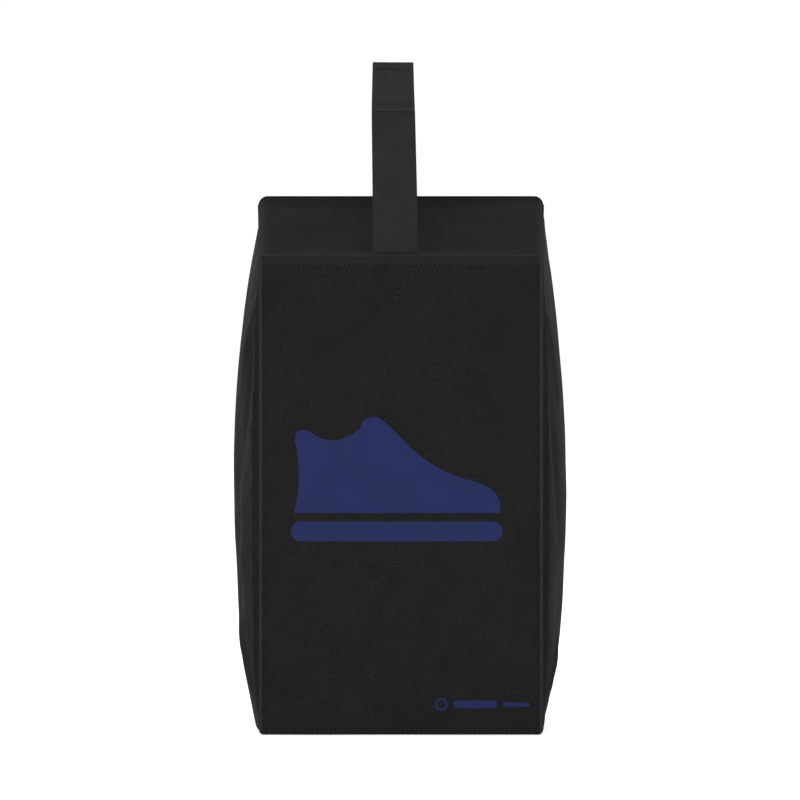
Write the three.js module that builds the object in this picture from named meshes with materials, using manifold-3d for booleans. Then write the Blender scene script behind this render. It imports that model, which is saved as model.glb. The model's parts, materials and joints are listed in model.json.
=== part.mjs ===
import * as THREE from "three";
import Module from "manifold-3d";
import { mergeVertices } from "three/addons/utils/BufferGeometryUtils.js";

// A fabric shoe bag with a webbing handle over its top and a zipped door in its back.
// Millimetres, +Z up. The front faces -Y and the origin is the middle of the underside.

// Driving dimensions of the body.
const FABRIC = 2.5; // wall thickness of the padded fabric
const GAP = 0.3; // space between pieces that are sewn or laid together
const FRONT_HALF = 100.5; // half the width of the front panel
const BACK_HALF_LOW = 101; // half the width of the back panel at the floor
const BACK_HALF_HIGH = 107; // and at the ridge
const FRONT_Y = -75; // outer face of the front panel
const BACK_Y = 75; // outer face of the back panel
const HEM_Z = 340; // top edge of the front panel
const RIDGE_Z = 390; // top edge of the back panel
const CORNER = 7; // radius of the bag's corners
const TOP_FRONT_Z = 338; // the top panel's front edge
const TOP_BACK_Z = 388.5; // and its back edge
const BULGE = 18; // how far a gusset swells at its fullest
const BULGE_RISE = 0.716; // below 1 the fullest place is lower than half height
const BULGE_SOFTNESS = 0.75; // below 1 the swell is fuller towards the seams

// Driving dimensions of the handle, seen from the side as y and z.
const WEBBING_WIDTH = 32;
const WEBBING = 1.6;
const HANDLE_X = -4; // the handle is sewn a little left of the middle
const FRONT_PIVOT = { y: -70.1, z: 342 };
const REAR_PIVOT = { y: 71, z: 392 };
const LEG_LENGTH = 100;
const LEG_LEAN = THREE.MathUtils.degToRad(8);
const FOLD_ROOM = 6; // the grip stops this far short of each fold
const LINER_INSET = 18;
const LINER = 1.2;
const TAIL_DROP = 50; // how far the front tail runs down inside the front panel

// Driving dimensions of the door and its zip, seen from behind as x and z.
const ZIP_HALF = 74; // centre line of the zip's two straight sides
const ZIP_TOP = 350;
const ZIP_CORNER = 50;
const ZIP_END = 22;
const HINGE_Z = 60; // the door folds down about this line
const PANEL_BACK_OFF = 5.5; // from the zip's centre line to the fabric's edge
const TAPE_REACH = 14;
const TAPE = 0.8;
const COIL_REACH = 2.6;
const COIL_DEPTH = 2.2;
const COIL_SPLIT = 0.25;

const INNER_FRONT = FRONT_Y + FABRIC;
const INNER_BACK = BACK_Y - FABRIC;

const wasm = await Module();
wasm.setup();

const bag = new THREE.Group();

const finishes = {
  fabric: { color: 0x242424, roughness: 0.95, metalness: 0 },
  webbing: { color: 0x2f2f2f, roughness: 0.9, metalness: 0 },
  binding: { color: 0x1b1b1b, roughness: 0.9, metalness: 0 },
  board: { color: 0x303030, roughness: 0.7, metalness: 0 },
  coil: { color: 0x151515, roughness: 0.5, metalness: 0 },
  metal: { color: 0x2c2c2e, roughness: 0.4, metalness: 0.8 },
  print: { color: 0x2a325a, roughness: 0.7, metalness: 0 },
};

function addPiece(name, geometry, finish) {
  const mesh = new THREE.Mesh(geometry, new THREE.MeshStandardMaterial(finishes[finish]));
  mesh.name = name;
  bag.add(mesh);
  return mesh;
}

// ---- Shared shapes ----

function block(low, high) {
  const size = high.map((value, axis) => value - low[axis]);
  const geometry = new THREE.BoxGeometry(...size);
  return geometry.translate(...low.map((value, axis) => value + size[axis] / 2));
}

// A block whose points are moved by a function of their place along, across and through it.
function shapedBlock(columns, rows, layers, place) {
  const geometry = new THREE.BoxGeometry(1, 1, 1, columns, rows, layers);
  const position = geometry.attributes.position;
  for (let i = 0; i < position.count; i += 1) {
    const spot = place(position.getX(i) + 0.5, position.getY(i) + 0.5, position.getZ(i) + 0.5);
    position.setXYZ(i, ...spot);
  }
  geometry.computeVertexNormals();
  return geometry;
}

// An upright sheet: an outline in x and z, given its thickness from y = near to y = far.
function uprightSheet(shape, near, far, curveSegments = 8) {
  const geometry = new THREE.ExtrudeGeometry(shape, {
    depth: far - near,
    bevelEnabled: false,
    curveSegments,
  });
  return geometry.rotateX(Math.PI / 2).translate(0, far, 0);
}

function toSolid(geometry) {
  const bare = geometry.clone();
  bare.deleteAttribute("normal");
  bare.deleteAttribute("uv");
  const merged = mergeVertices(bare);
  return new wasm.Manifold(
    new wasm.Mesh({
      numProp: 3,
      vertProperties: new Float32Array(merged.attributes.position.array),
      triVerts: new Uint32Array(merged.index.array),
    }),
  );
}

function toGeometry(solid) {
  const mesh = solid.getMesh();
  const geometry = new THREE.BufferGeometry();
  geometry.setAttribute("position", new THREE.BufferAttribute(mesh.vertProperties, 3));
  geometry.setIndex(new THREE.BufferAttribute(mesh.triVerts, 1));
  geometry.computeVertexNormals();
  return geometry;
}

function join(...geometries) {
  return toGeometry(geometries.map(toSolid).reduce((sum, piece) => sum.add(piece)));
}

function cut(geometry, ...tools) {
  return toGeometry(tools.map(toSolid).reduce((rest, tool) => rest.subtract(tool), toSolid(geometry)));
}

// ---- The body's outer shape ----

function depthShare(y) {
  return (y - FRONT_Y) / (BACK_Y - FRONT_Y);
}

function topSurface(y) {
  const share = (y - INNER_FRONT) / (INNER_BACK - INNER_FRONT);
  return THREE.MathUtils.lerp(TOP_FRONT_Z, TOP_BACK_Z, share);
}

// Half the body's width at a seam, before any swelling.
function seamHalf(y, z) {
  const back = THREE.MathUtils.lerp(BACK_HALF_LOW, BACK_HALF_HIGH, z / RIDGE_Z);
  return THREE.MathUtils.lerp(FRONT_HALF, back, depthShare(y));
}

function gussetTop(y) {
  return topSurface(y) - CORNER - GAP;
}

// Half the body's width at the outside of a gusset.
function gussetHalf(y, z) {
  const height = THREE.MathUtils.clamp(z / gussetTop(y), 0, 1);
  const upright = Math.max(0, Math.sin(Math.PI * height ** BULGE_RISE)) ** BULGE_SOFTNESS;
  const across = Math.max(0, Math.sin(Math.PI * depthShare(y))) ** 0.8;
  return seamHalf(y, z) + BULGE * upright * across;
}

function gusset(side) {
  return shapedBlock(1, 12, 16, (through, along, up) => {
    const y = THREE.MathUtils.lerp(INNER_FRONT + GAP, INNER_BACK - GAP, along);
    const z = gussetTop(y) * up;
    const half = gussetHalf(y, z);
    const x = side > 0 ? half - FABRIC * (1 - through) : -half + FABRIC * through;
    return [x, y, z];
  });
}

function frontPanelShape() {
  const shape = new THREE.Shape();
  shape.moveTo(FRONT_HALF, HEM_Z);
  shape.lineTo(-FRONT_HALF, HEM_Z);
  shape.lineTo(-FRONT_HALF, CORNER);
  shape.absarc(-FRONT_HALF + CORNER, CORNER, CORNER, Math.PI, 1.5 * Math.PI);
  shape.absarc(FRONT_HALF - CORNER, CORNER, CORNER, 1.5 * Math.PI, 2 * Math.PI);
  shape.closePath();
  return shape;
}

function backPanelShape() {
  const shape = new THREE.Shape();
  const low = BACK_HALF_LOW;
  const high = BACK_HALF_HIGH;
  shape.moveTo(low, CORNER);
  shape.absarc(high - CORNER, RIDGE_Z - CORNER, CORNER, 0, Math.PI / 2);
  shape.absarc(-high + CORNER, RIDGE_Z - CORNER, CORNER, Math.PI / 2, Math.PI);
  shape.absarc(-low + CORNER, CORNER, CORNER, Math.PI, 1.5 * Math.PI);
  shape.absarc(low - CORNER, CORNER, CORNER, 1.5 * Math.PI, 2 * Math.PI);
  return shape;
}

// The top panel turns down along its two sides to meet the gussets.
function topPanel() {
  const flatShare = 0.5;
  const panel = shapedBlock(16, 4, 1, (along, across, through) => {
    const y = THREE.MathUtils.lerp(INNER_FRONT + TAPE + 2 * GAP, INNER_BACK - GAP, across);
    const signed = 2 * along - 1;
    const share = Math.abs(signed);
    const flat = seamHalf(y, topSurface(y)) - CORNER;
    const radius = CORNER - FABRIC * (1 - through);
    const turn = Math.max(0, (share - flatShare) / (1 - flatShare)) * (Math.PI / 2);
    const reach = share < flatShare ? (flat * share) / flatShare : flat + radius * Math.sin(turn);
    const z = topSurface(y) - CORNER + radius * Math.cos(turn);
    return [Math.sign(signed) * reach, y, z];
  });
  const slotHalf = WEBBING_WIDTH / 2 + 0.5;
  const slot = (pivot) =>
    block(
      [HANDLE_X - slotHalf, pivot.y - WEBBING / 2 - 2, pivot.z - 30],
      [HANDLE_X + slotHalf, pivot.y + WEBBING / 2 + 2, pivot.z + 10],
    );
  return cut(panel, slot(FRONT_PIVOT), slot(REAR_PIVOT));
}

// ---- The door's outlines: upside-down U bands about the zip's centre line ----

function archPoints(path, offset, foot, reversed) {
  const half = ZIP_HALF + offset;
  const radius = ZIP_CORNER + offset;
  const spring = ZIP_TOP - ZIP_CORNER;
  const centre = ZIP_HALF - ZIP_CORNER;
  if (reversed) {
    path.lineTo(-half, foot);
    path.absarc(-centre, spring, radius, Math.PI, Math.PI / 2, true);
    path.absarc(centre, spring, radius, Math.PI / 2, 0, true);
    path.lineTo(half, foot);
    return;
  }
  path.lineTo(half, foot);
  path.absarc(centre, spring, radius, 0, Math.PI / 2);
  path.absarc(-centre, spring, radius, Math.PI / 2, Math.PI);
  path.lineTo(-half, foot);
}

function archBand(inner, outer, foot) {
  const shape = new THREE.Shape();
  shape.moveTo(ZIP_HALF + inner, foot);
  archPoints(shape, outer, foot, false);
  archPoints(shape, inner, foot, true);
  return shape;
}

function doorShape() {
  const shape = new THREE.Shape();
  shape.moveTo(-ZIP_HALF + PANEL_BACK_OFF, HINGE_Z + GAP);
  archPoints(shape, -PANEL_BACK_OFF, HINGE_Z + GAP, false);
  return shape;
}

function doorwayHole() {
  const inner = ZIP_HALF - PANEL_BACK_OFF;
  const hole = new THREE.Path();
  hole.moveTo(-inner, ZIP_END);
  hole.lineTo(-inner, HINGE_Z);
  hole.lineTo(inner, HINGE_Z);
  hole.lineTo(inner, ZIP_END);
  archPoints(hole, PANEL_BACK_OFF, ZIP_END, false);
  hole.closePath();
  return hole;
}

// ---- Webbing: a flat strap between two points seen from the side, with rounded ends ----

function strap(from, to, thickness, lift = 0) {
  const run = new THREE.Vector3(0, to.y - from.y, to.z - from.z);
  const length = run.length();
  const radius = thickness / 2;
  const shape = new THREE.Shape();
  shape.absarc(length, 0, radius, -Math.PI / 2, Math.PI / 2);
  shape.absarc(0, 0, radius, Math.PI / 2, 1.5 * Math.PI);
  const geometry = new THREE.ExtrudeGeometry(shape, {
    depth: WEBBING_WIDTH,
    bevelEnabled: false,
    curveSegments: 5,
  });
  const along = run.normalize();
  const across = new THREE.Vector3(1, 0, 0);
  const normal = new THREE.Vector3().crossVectors(across, along);
  const place = new THREE.Matrix4().makeBasis(along, normal, across);
  geometry.translate(0, lift, -WEBBING_WIDTH / 2).applyMatrix4(place);
  return geometry.translate(HANDLE_X, from.y, from.z);
}

function legTop(pivot) {
  return {
    y: pivot.y + LEG_LENGTH * Math.sin(LEG_LEAN),
    z: pivot.z + LEG_LENGTH * Math.cos(LEG_LEAN),
  };
}

function between(from, to, distance) {
  const share = distance / Math.hypot(to.y - from.y, to.z - from.z);
  return {
    y: THREE.MathUtils.lerp(from.y, to.y, share),
    z: THREE.MathUtils.lerp(from.z, to.z, share),
  };
}

// ---- Build: body panels ----

function addPanels() {
  const backShape = backPanelShape();
  backShape.holes.push(doorwayHole());
  addPiece("front_panel", uprightSheet(frontPanelShape(), FRONT_Y, INNER_FRONT), "fabric");
  addPiece("back_panel", uprightSheet(backShape, INNER_BACK, BACK_Y), "fabric");
  addPiece("top_panel", topPanel(), "fabric");
  addPiece("left_gusset", gusset(-1), "fabric");
  addPiece("right_gusset", gusset(1), "fabric");
  const floorHalf = FRONT_HALF - FABRIC - GAP;
  const floorDepth = INNER_BACK - GAP;
  addPiece("bottom_panel", block([-floorHalf, -floorDepth, 0], [floorHalf, floorDepth, FABRIC]), "fabric");
}

// ---- Build: stiffening and seam bindings inside ----

function addLining() {
  const boardHalf = 95.5;
  const boardDepth = 70.2;
  const boardTop = 5;
  const floor = FABRIC + GAP;
  addPiece("base_board", block([-boardHalf, -boardDepth, floor], [boardHalf, boardDepth, boardTop]), "board");

  const facingDrop = 14;
  const facingHalf = 97;
  addPiece(
    "front_hem_facing",
    block(
      [-facingHalf, INNER_FRONT + GAP, HEM_Z - facingDrop],
      [facingHalf, INNER_FRONT + GAP + TAPE, HEM_Z],
    ),
    "webbing",
  );

  const ringHigh = floor + 7.5;
  const ringOuter = block([-97.4, -72, floor], [97.4, 72, ringHigh]);
  const ringInner = block([-95.9, -70.6, floor - 1], [95.9, 70.6, ringHigh + 1]);
  addPiece("bottom_seam_binding", cut(ringOuter, ringInner), "binding");

  const bindingLow = ringHigh + GAP;
  const bindingThick = 1.4;
  const sideSeams = { left: -1, right: 1 };
  for (const [name, side] of Object.entries(sideSeams)) {
    const near = side * 90;
    const far = side * 97.3;
    const x = [Math.min(near, far), Math.max(near, far)];
    const frontY = INNER_FRONT + GAP;
    const backY = INNER_BACK - GAP;
    addPiece(
      `front_${name}_seam_binding`,
      block([x[0], frontY, bindingLow], [x[1], frontY + bindingThick, HEM_Z - facingDrop - 1]),
      "binding",
    );
    addPiece(
      `back_${name}_seam_binding`,
      block([x[0], backY - bindingThick, bindingLow], [x[1], backY, TOP_BACK_Z - 14]),
      "binding",
    );
    addPiece(`top_${name}_seam_binding`, topBinding(side, bindingThick), "binding");
  }
}

// A strip inside the seam between a gusset and the top panel.
function topBinding(side, thickness) {
  const width = 9;
  const reach = 66;
  const inset = FABRIC + GAP + 1;
  return shapedBlock(1, 1, 1, (through, along, up) => {
    const y = THREE.MathUtils.lerp(-reach, reach, along);
    const outer = seamHalf(y, topSurface(y)) - inset;
    const x = side > 0 ? outer - thickness * (1 - through) : -outer + thickness * through;
    const z = topSurface(y) - CORNER - 3 - width * (1 - up);
    return [x, y, z];
  });
}

// ---- Build: the handle ----

function addHandle() {
  const frontFold = legTop(FRONT_PIVOT);
  const rearFold = legTop(REAR_PIVOT);
  const gripLength = Math.hypot(rearFold.y - frontFold.y, rearFold.z - frontFold.z);
  const gripStart = between(frontFold, rearFold, FOLD_ROOM);
  const gripEnd = between(frontFold, rearFold, gripLength - FOLD_ROOM);
  const linerStart = between(frontFold, rearFold, LINER_INSET);
  const linerEnd = between(frontFold, rearFold, gripLength - LINER_INSET);
  const linerDrop = -(WEBBING + LINER) / 2 - GAP;
  addPiece("handle_front_leg", strap(FRONT_PIVOT, frontFold, WEBBING), "webbing");
  addPiece("handle_grip", strap(gripStart, gripEnd, WEBBING), "webbing");
  addPiece("handle_grip_liner", strap(linerStart, linerEnd, LINER, linerDrop), "webbing");
  addPiece("handle_rear_leg", strap(rearFold, REAR_PIVOT, WEBBING), "webbing");

  const half = WEBBING_WIDTH / 2;
  const tailTop = WEBBING / 2 + GAP;
  const rearTailDrop = 25;
  addPiece(
    "handle_front_tail",
    block(
      [HANDLE_X - half, FRONT_PIVOT.y - WEBBING / 2, FRONT_PIVOT.z - TAIL_DROP],
      [HANDLE_X + half, FRONT_PIVOT.y + WEBBING / 2, FRONT_PIVOT.z - tailTop],
    ),
    "webbing",
  );
  addPiece(
    "handle_rear_tail",
    block(
      [HANDLE_X - half, REAR_PIVOT.y - WEBBING / 2, REAR_PIVOT.z - rearTailDrop],
      [HANDLE_X + half, REAR_PIVOT.y + WEBBING / 2, REAR_PIVOT.z - tailTop],
    ),
    "webbing",
  );

  const patchHalf = half + 4;
  const patchFront = FRONT_PIVOT.y + WEBBING / 2 + GAP;
  const patchRear = REAR_PIVOT.y - WEBBING / 2 - GAP;
  const underTop = FABRIC + 1;
  addPiece(
    "handle_front_patch",
    block(
      [HANDLE_X - patchHalf, patchFront, FRONT_PIVOT.z - TAIL_DROP - 4],
      [HANDLE_X + patchHalf, patchFront + TAPE, TOP_FRONT_Z - underTop],
    ),
    "fabric",
  );
  addPiece(
    "handle_rear_patch",
    block(
      [HANDLE_X - patchHalf, patchRear - TAPE, REAR_PIVOT.z - rearTailDrop - 1],
      [HANDLE_X + patchHalf, patchRear, TOP_BACK_Z - underTop - 1],
    ),
    "fabric",
  );
}

// ---- Build: the door and its zip ----

function addDoor() {
  const tapeFar = INNER_BACK - GAP;
  const tapeNear = tapeFar - TAPE;
  const coilFar = INNER_BACK + COIL_DEPTH;
  const doorFoot = HINGE_Z + GAP;
  addPiece("back_door", uprightSheet(doorShape(), INNER_BACK, BACK_Y), "fabric");
  addPiece("zip_tape_frame", uprightSheet(archBand(GAP, TAPE_REACH, ZIP_END), tapeNear, tapeFar), "webbing");
  addPiece("zip_tape_door", uprightSheet(archBand(-TAPE_REACH, -GAP, doorFoot), tapeNear, tapeFar), "webbing");
  addPiece(
    "zip_coil_frame",
    uprightSheet(archBand(COIL_SPLIT, COIL_REACH, ZIP_END), INNER_BACK, coilFar),
    "coil",
  );
  addPiece(
    "zip_coil_door",
    uprightSheet(archBand(-COIL_REACH, -COIL_SPLIT, doorFoot), INNER_BACK, coilFar),
    "coil",
  );
  const sides = { left: -1, right: 1 };
  for (const [name, side] of Object.entries(sides)) {
    addPiece(`zip_end_${name}`, zipEnd(side, tapeNear, coilFar), "coil");
    addPiece(`zip_end_tab_${name}`, zipEndTab(side), "fabric");
  }
}

// Below the hinge line the zip's inner half is sewn to the back panel.
function zipEnd(side, near, far) {
  const top = HINGE_Z - GAP;
  const strip = (inner, outer, low, high) => {
    const x = [side * (ZIP_HALF - inner), side * (ZIP_HALF - outer)];
    return block([Math.min(...x), low, ZIP_END], [Math.max(...x), high, top]);
  };
  return join(strip(GAP, TAPE_REACH, near, near + TAPE), strip(GAP, COIL_REACH, near, far));
}

function zipEndTab(side) {
  const half = 8;
  const thick = 1.2;
  const low = ZIP_END - 13;
  const high = ZIP_END + 2;
  const middle = side * ZIP_HALF;
  return block([middle - half, BACK_Y + GAP, low], [middle + half, BACK_Y + GAP + thick, high]);
}

const SLIDER_LOW = ZIP_END + 4;
const SLIDER_LENGTH = 14;
const SLIDER_FACE = BACK_Y + 1.6; // outer face of the slider's plate
const PULL_PIVOT = { y: SLIDER_FACE + 1, z: SLIDER_LOW + 5 };

// A channel over the coil, with a bridge along it that holds the pull.
function slider() {
  const plateHalf = 4.6;
  const high = SLIDER_LOW + SLIDER_LENGTH;
  const railInner = COIL_REACH + GAP;
  const railOuter = 4.4;
  const railNear = BACK_Y - 1.8;
  const bridgeHalf = 1;
  const bridgeFoot = PULL_PIVOT.z - 2.8;
  const bridgeHead = PULL_PIVOT.z + 6.8;
  const post = 1.6;
  const crown = PULL_PIVOT.y + 1;
  const crownFar = crown + 1;
  const at = (x) => ZIP_HALF + x;
  return join(
    block([at(-plateHalf), BACK_Y, SLIDER_LOW], [at(plateHalf), SLIDER_FACE, high]),
    block([at(railInner), railNear, SLIDER_LOW], [at(railOuter), SLIDER_FACE, high]),
    block([at(-railOuter), railNear, SLIDER_LOW], [at(-railInner), SLIDER_FACE, high]),
    block([at(-bridgeHalf), BACK_Y, bridgeFoot], [at(bridgeHalf), crownFar, bridgeFoot + post]),
    block([at(-bridgeHalf), BACK_Y, bridgeHead - post], [at(bridgeHalf), crownFar, bridgeHead]),
    block([at(-bridgeHalf), crown, bridgeFoot], [at(bridgeHalf), crownFar, bridgeHead]),
  );
}

// A flat tab with a window at its top, whose bar passes under the slider's bridge.
function pull() {
  const halfThick = 0.6;
  const half = 3.6;
  const windowHalf = 2;
  const windowLow = 8.5;
  const length = 26;
  const shape = new THREE.Shape();
  const tip = half;
  shape.moveTo(ZIP_HALF + half, PULL_PIVOT.z + halfThick);
  shape.lineTo(ZIP_HALF - half, PULL_PIVOT.z + halfThick);
  shape.lineTo(ZIP_HALF - half, PULL_PIVOT.z - length + tip);
  shape.absarc(ZIP_HALF, PULL_PIVOT.z - length + tip, tip, Math.PI, 2 * Math.PI);
  shape.closePath();
  const window = new THREE.Path();
  window.moveTo(ZIP_HALF - windowHalf, PULL_PIVOT.z - halfThick);
  window.lineTo(ZIP_HALF + windowHalf, PULL_PIVOT.z - halfThick);
  window.lineTo(ZIP_HALF + windowHalf, PULL_PIVOT.z - windowLow);
  window.lineTo(ZIP_HALF - windowHalf, PULL_PIVOT.z - windowLow);
  window.closePath();
  shape.holes.push(window);
  return uprightSheet(shape, PULL_PIVOT.y - halfThick, PULL_PIVOT.y + halfThick);
}

// ---- Build: the flat prints on the front ----

function addPrints() {
  const thick = 0.3;
  const near = FRONT_Y - GAP - thick;
  const far = FRONT_Y - GAP;
  const addPrint = (name, shape) => addPiece(name, uprightSheet(shape, near, far), "print");
  addPrint("print_shoe_upper", shoeUpper());
  addPrint("print_shoe_sole", shoeSole());
  addPrint("print_small_ring", smallRing());
  addPrint("print_small_bar_wide", smallBar(37, 31, 5.5));
  addPrint("print_small_bar_thin", smallBar(72, 19, 3));
}

const SHOE_MIDDLE = { x: -3, z: 181 };

function shoeUpper() {
  const { x, z } = SHOE_MIDDLE;
  const shape = new THREE.Shape();
  shape.moveTo(x + 73, z - 24);
  shape.quadraticCurveTo(x + 76, z - 6, x + 52, z - 1);
  shape.quadraticCurveTo(x + 28, z + 5, x + 8, z + 24);
  shape.quadraticCurveTo(x - 4, z + 38, x - 14, z + 44);
  shape.quadraticCurveTo(x - 24, z + 45, x - 26, z + 36);
  shape.quadraticCurveTo(x - 44, z + 20, x - 62, z + 34);
  shape.quadraticCurveTo(x - 72, z + 38, x - 72, z + 27);
  shape.quadraticCurveTo(x - 66, z, x - 73, z - 24);
  shape.closePath();
  return shape;
}

function shoeSole() {
  const { x, z } = SHOE_MIDDLE;
  const end = 7;
  const reach = 68;
  const middle = z - 37;
  const shape = new THREE.Shape();
  shape.absarc(x + reach, middle, end, -Math.PI / 2, Math.PI / 2);
  shape.absarc(x - reach, middle, end, Math.PI / 2, 1.5 * Math.PI);
  return shape;
}

const SMALL_PRINT = { ringX: 28.5, z: 21.5 };

function smallRing() {
  const outer = 4.6;
  const inner = 3;
  const shape = new THREE.Shape();
  shape.absarc(SMALL_PRINT.ringX, SMALL_PRINT.z, outer, 0, 2 * Math.PI);
  const hole = new THREE.Path();
  hole.absarc(SMALL_PRINT.ringX, SMALL_PRINT.z, inner, 0, 2 * Math.PI);
  shape.holes.push(hole);
  return shape;
}

function smallBar(start, length, height) {
  const half = height / 2;
  const shape = new THREE.Shape();
  shape.absarc(start + length - half, SMALL_PRINT.z, half, -Math.PI / 2, Math.PI / 2);
  shape.absarc(start + half, SMALL_PRINT.z, half, Math.PI / 2, 1.5 * Math.PI);
  return shape;
}

addPanels();
addLining();
addHandle();
addDoor();
addPiece("zip_slider", slider(), "metal");
addPiece("zip_pull", pull(), "metal");
addPrints();

export default bag;
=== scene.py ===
"""The looks of a fabric shoe bag with a webbing handle and a zipped back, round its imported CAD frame.

Shapes are worked out in millimetres, in the CAD model's frame, and turned into metres when a mesh is made.
"""

import json
import math

import bmesh
import bpy
import numpy as np
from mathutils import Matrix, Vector


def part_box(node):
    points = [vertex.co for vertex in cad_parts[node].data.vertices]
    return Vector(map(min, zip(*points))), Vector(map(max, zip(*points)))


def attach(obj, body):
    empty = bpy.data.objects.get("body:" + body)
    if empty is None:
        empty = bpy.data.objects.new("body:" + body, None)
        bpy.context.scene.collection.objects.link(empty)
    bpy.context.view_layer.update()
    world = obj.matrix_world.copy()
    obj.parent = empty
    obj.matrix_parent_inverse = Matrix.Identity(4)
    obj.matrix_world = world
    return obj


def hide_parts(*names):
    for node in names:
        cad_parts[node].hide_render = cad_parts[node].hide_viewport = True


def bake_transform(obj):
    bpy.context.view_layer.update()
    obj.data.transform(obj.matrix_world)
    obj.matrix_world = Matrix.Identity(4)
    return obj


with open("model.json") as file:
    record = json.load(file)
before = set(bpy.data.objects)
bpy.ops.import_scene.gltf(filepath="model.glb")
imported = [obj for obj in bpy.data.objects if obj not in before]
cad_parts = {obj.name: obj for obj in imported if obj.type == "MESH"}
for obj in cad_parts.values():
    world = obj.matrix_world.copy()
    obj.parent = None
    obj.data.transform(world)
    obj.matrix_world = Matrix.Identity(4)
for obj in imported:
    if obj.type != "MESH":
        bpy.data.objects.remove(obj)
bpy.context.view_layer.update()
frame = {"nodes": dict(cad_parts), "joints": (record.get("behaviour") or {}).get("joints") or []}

MM = 0.001
FORWARDS = (0, -1, 0)
BACKWARDS = (0, 1, 0)


# ---- Sizes read from the frame ----


def box_mm(node):
    low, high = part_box(node)
    return np.array(low) / MM, np.array(high) / MM


def joint_mm(name):
    joint = next(j for j in frame["joints"] if j["name"] == name)
    return np.array(joint["pos_m"]) / MM


FRONT_LOW, FRONT_HIGH = box_mm("front_panel")
BACK_HIGH = box_mm("back_panel")[1]
TOP_HIGH = box_mm("top_panel")[1]
GUSSET_HIGH = box_mm("right_gusset")[1]
FRONT_HALF = FRONT_HIGH[0]
FRONT_Y = FRONT_LOW[1]
HEM_Z = FRONT_HIGH[2]
BACK_Y = BACK_HIGH[1]
BACK_HALF_HIGH = BACK_HIGH[0]
BACK_HALF_LOW = FRONT_HALF + 0.5
RIDGE_Z = BACK_HIGH[2]
CORNER = 7
LOW_CORNER = 3.0
TOP_FRONT_Z = HEM_Z - 2
TOP_BACK_Z = TOP_HIGH[2]
BULGE = GUSSET_HIGH[0] - (FRONT_HALF + BACK_HALF_HIGH) / 2 + 2
CLOTH = 1.0

FRONT_PIVOT = joint_mm("handle_lean")
FRONT_FOLD = joint_mm("grip_fold")
REAR_FOLD = joint_mm("rear_fold")
REAR_PIVOT = FRONT_PIVOT + REAR_FOLD - FRONT_FOLD
STRAP_LOW, STRAP_HIGH = box_mm("handle_front_leg")
STRAP_X = (STRAP_LOW[0] + STRAP_HIGH[0]) / 2
STRAP_WIDTH = STRAP_HIGH[0] - STRAP_LOW[0]
WEBBING = 1.6

DOOR_LOW, DOOR_HIGH = box_mm("back_door")
COIL_HIGH = box_mm("zip_coil_frame")[1]
TAPE_LOW, TAPE_HIGH = box_mm("zip_tape_frame")
COIL_REACH = 2.6
ZIP_HALF = COIL_HIGH[0] - COIL_REACH
ZIP_TOP = COIL_HIGH[2] - COIL_REACH
ZIP_END = TAPE_LOW[2]
ZIP_CORNER = 50
TAPE_REACH = TAPE_HIGH[0] - ZIP_HALF
CLOTH_OFF = ZIP_HALF - DOOR_HIGH[0]
HINGE_Z = joint_mm("door_fold")[2]


# ---- Materials ----


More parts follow.
